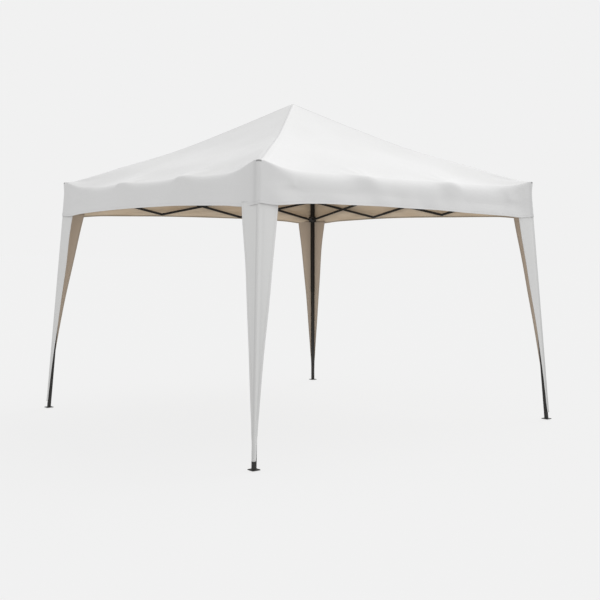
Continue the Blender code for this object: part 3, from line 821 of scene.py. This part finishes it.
def coated_steel(name, colour):
    """Powder coated steel with fine orange peel, and pale rubs that run mostly upright."""
    s = Shader(name, colour, 0.42)
    s.main.inputs["Specular IOR Level"].default_value = 0.25
    peel = s.noise(520, 2.0)
    patches = s.spread(s.noise(7, 4.0), 0.35, 0.7)
    streaks = s.spread(s.noise(5.5, 5.0, stretch=(60, 60, 4)), 0.66, 0.76)
    specks = s.spread(s.noise(160, 3.0), 0.70, 0.78)
    base = s.mix(s.math("MULTIPLY", patches, 0.35), colour, times(colour, 1.5))
    base = s.mix(s.math("MULTIPLY", streaks, 0.30), base, (0.16, 0.157, 0.155))
    base = s.mix(s.math("MULTIPLY", specks, 0.25), base, (0.12, 0.117, 0.113))
    rough = s.spread(s.math("ADD", peel, patches), 0.4, 1.6, 0.36, 0.52)
    return s.finish(base, rough, s.bump(peel, 0.0003, 0.35))


def moulded_plastic(name, colour, roughness=0.55):
    """Moulded plastic with a fine grain, paler where it is rubbed."""
    s = Shader(name, colour, roughness)
    grain = s.noise(900, 2.0)
    clouds = s.spread(s.noise(30, 3.0), 0.35, 0.7)
    base = s.mix(s.math("MULTIPLY", clouds, 0.4), colour, tuple(1.7 * c + 0.004 for c in colour))
    rough = s.spread(grain, 0.3, 0.7, roughness - 0.08, roughness + 0.1)
    return s.finish(base, rough, s.bump(grain, 0.0002, 0.5))


# The frame's nodes

EDGE = 0.0008
THIN_EDGE = 0.0006
PLASTIC_EDGE = 0.0012


def soften(node, width):
    """Give a CAD node's edges the small radius of the real piece."""
    obj = frame["nodes"][node]
    weld = obj.modifiers.new("weld", "WELD")
    weld.merge_threshold = 0.00002
    bevel = obj.modifiers.new("edge radius", "BEVEL")
    bevel.width = width
    bevel.segments = 2
    bevel.limit_method = "ANGLE"
    bevel.angle_limit = math.radians(38)
    bevel.harden_normals = True
    for polygon in obj.data.polygons:
        polygon.use_smooth = True


def paint(node, material):
    """Give a CAD node one material in place of its own."""
    obj = frame["nodes"][node]
    obj.data.materials.clear()
    obj.data.materials.append(material)


def dress_frame(steel, plastic, button, worn):
    """Give each kind of node its finish. The leg covers and the canopy are replaced, so they get none."""
    for node in frame["nodes"]:
        if node.startswith("slider_button"):
            paint(node, button)
            soften(node, EDGE)
        elif node.startswith(("slider", "corner_bracket", "hub", "peak_cap")):
            paint(node, plastic)
            soften(node, PLASTIC_EDGE)
        elif node.startswith("inner_leg"):
            paint(node, worn)
            soften(node, THIN_EDGE)
        elif not node.startswith(("leg_cover", "canopy")):
            paint(node, steel)
            soften(node, EDGE)


# The room, the lights and the camera

# Folded, the feet reach a little lower than they stand open
FLOOR_Z = -0.0085
FLOOR_RADIUS = 160
FLOOR_GLOW = 0.805
SKY_STRENGTH = 0.88
SUN_STRENGTH = 1.72
SUN_ANGLE = math.radians(50)
SUN_FROM = Vector((0.68, 0.01, 0.73))
CAMERA_PLACE = Vector((-4.902, -6.105, 1.342))
CAMERA_YAW = 0.6853
CAMERA_PITCH = -0.051
CAMERA_ROLL = 0.006
CAMERA_LENS = 56.74


def build_stage():
    """A plain pale floor that glows a little, under an even white sky and one large soft light."""
    floor = bpy.data.meshes.new("floor")
    bm = bmesh.new()
    bmesh.ops.create_circle(bm, cap_ends=True, radius=FLOOR_RADIUS, segments=96)
    bm.to_mesh(floor)
    bm.free()
    obj = bpy.data.objects.new("floor", floor)
    bpy.context.scene.collection.objects.link(obj)
    obj.location.z = FLOOR_Z
    s = Shader("floor", (0.06, 0.06, 0.06), 0.9)
    s.main.inputs["Specular IOR Level"].default_value = 0.0
    s.main.inputs["Emission Color"].default_value = (1, 1, 1, 1)
    s.main.inputs["Emission Strength"].default_value = FLOOR_GLOW
    floor.materials.append(s.material)

    world = bpy.data.worlds.new("studio")
    bpy.context.scene.world = world
    world.use_nodes = True
    background = world.node_tree.nodes["Background"]
    background.inputs["Color"].default_value = (1, 1, 1, 1)
    background.inputs["Strength"].default_value = SKY_STRENGTH

    sun = bpy.data.lights.new("key", "SUN")
    sun.energy = SUN_STRENGTH
    sun.angle = SUN_ANGLE
    key = bpy.data.objects.new("key", sun)
    bpy.context.scene.collection.objects.link(key)
    key.rotation_euler = SUN_FROM.to_track_quat("Z", "Y").to_euler()
    bpy.context.scene.view_settings.view_transform = "Standard"


def build_camera():
    camera = bpy.data.cameras.new("camera")
    camera.sensor_width = 36
    camera.lens = CAMERA_LENS
    camera.clip_end = 400
    obj = bpy.data.objects.new("camera", camera)
    bpy.context.scene.collection.objects.link(obj)
    yaw, pitch, roll = CAMERA_YAW, CAMERA_PITCH, CAMERA_ROLL
    forward = Vector((math.sin(yaw) * math.cos(pitch), math.cos(yaw) * math.cos(pitch), math.sin(pitch)))
    level = Vector((math.cos(yaw), -math.sin(yaw), 0))
    above = level.cross(forward)
    right = math.cos(roll) * level + math.sin(roll) * above
    up = math.cos(roll) * above - math.sin(roll) * level
    rotation = Matrix((right, up, -forward)).transposed()
    obj.matrix_world = Matrix.Translation(CAMERA_PLACE) @ rotation.to_4x4()
    bpy.context.scene.camera = obj


def main():
    """Make the materials and the pieces, then the room round them."""
    # Cloth: its name, colour, shade where it is soiled, roughness, sheen, and how dark the painted shadow
    # along its hems is
    cloths = [woven_cloth(*finish) for finish in (
        ("roof cloth outside", (0.70, 0.70, 0.70), (0.67, 0.668, 0.662), 0.8, 0.1, 0.0),
        # The insides are the outside cloth painted warm, as painted light that comes through the cloth
        ("roof cloth inside", (0.68, 0.565, 0.430), (0.63, 0.52, 0.395), 0.7, 0.05, 0.7),
        # The covers' cloth is painted a little darker than the roof's as painted shade, and its inside
        # darker still
        ("cover cloth outside", (0.665, 0.665, 0.66), (0.625, 0.625, 0.62), 0.8, 0.1, 0.0),
        ("cover cloth inside", (0.50, 0.42, 0.34), (0.46, 0.385, 0.31), 0.7, 0.05, 0.3),
    )]
    steel = coated_steel("coated steel", (0.013, 0.0115, 0.0105))
    worn = coated_steel("inner leg steel", (0.024, 0.023, 0.022))
    plastic = moulded_plastic("black plastic", (0.022, 0.022, 0.024))
    button = moulded_plastic("button plastic", (0.36, 0.36, 0.37), 0.4)

    roof = build_roof(*cloths[:2])
    fold_roof(roof)
    add_cloth_thickness(roof)
    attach(roof, "hub")
    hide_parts("canopy")

    for k, corner in enumerate(CORNERS):
        cover = build_leg_cover(k, *cloths[2:])
        fold_cover(cover, corner)
        add_cloth_thickness(cover)
        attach(cover, f"outer_leg_{corner}")
        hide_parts(f"leg_cover_{corner}")

    dress_frame(steel, plastic, button, worn)
    build_stage()
    build_camera()


main()
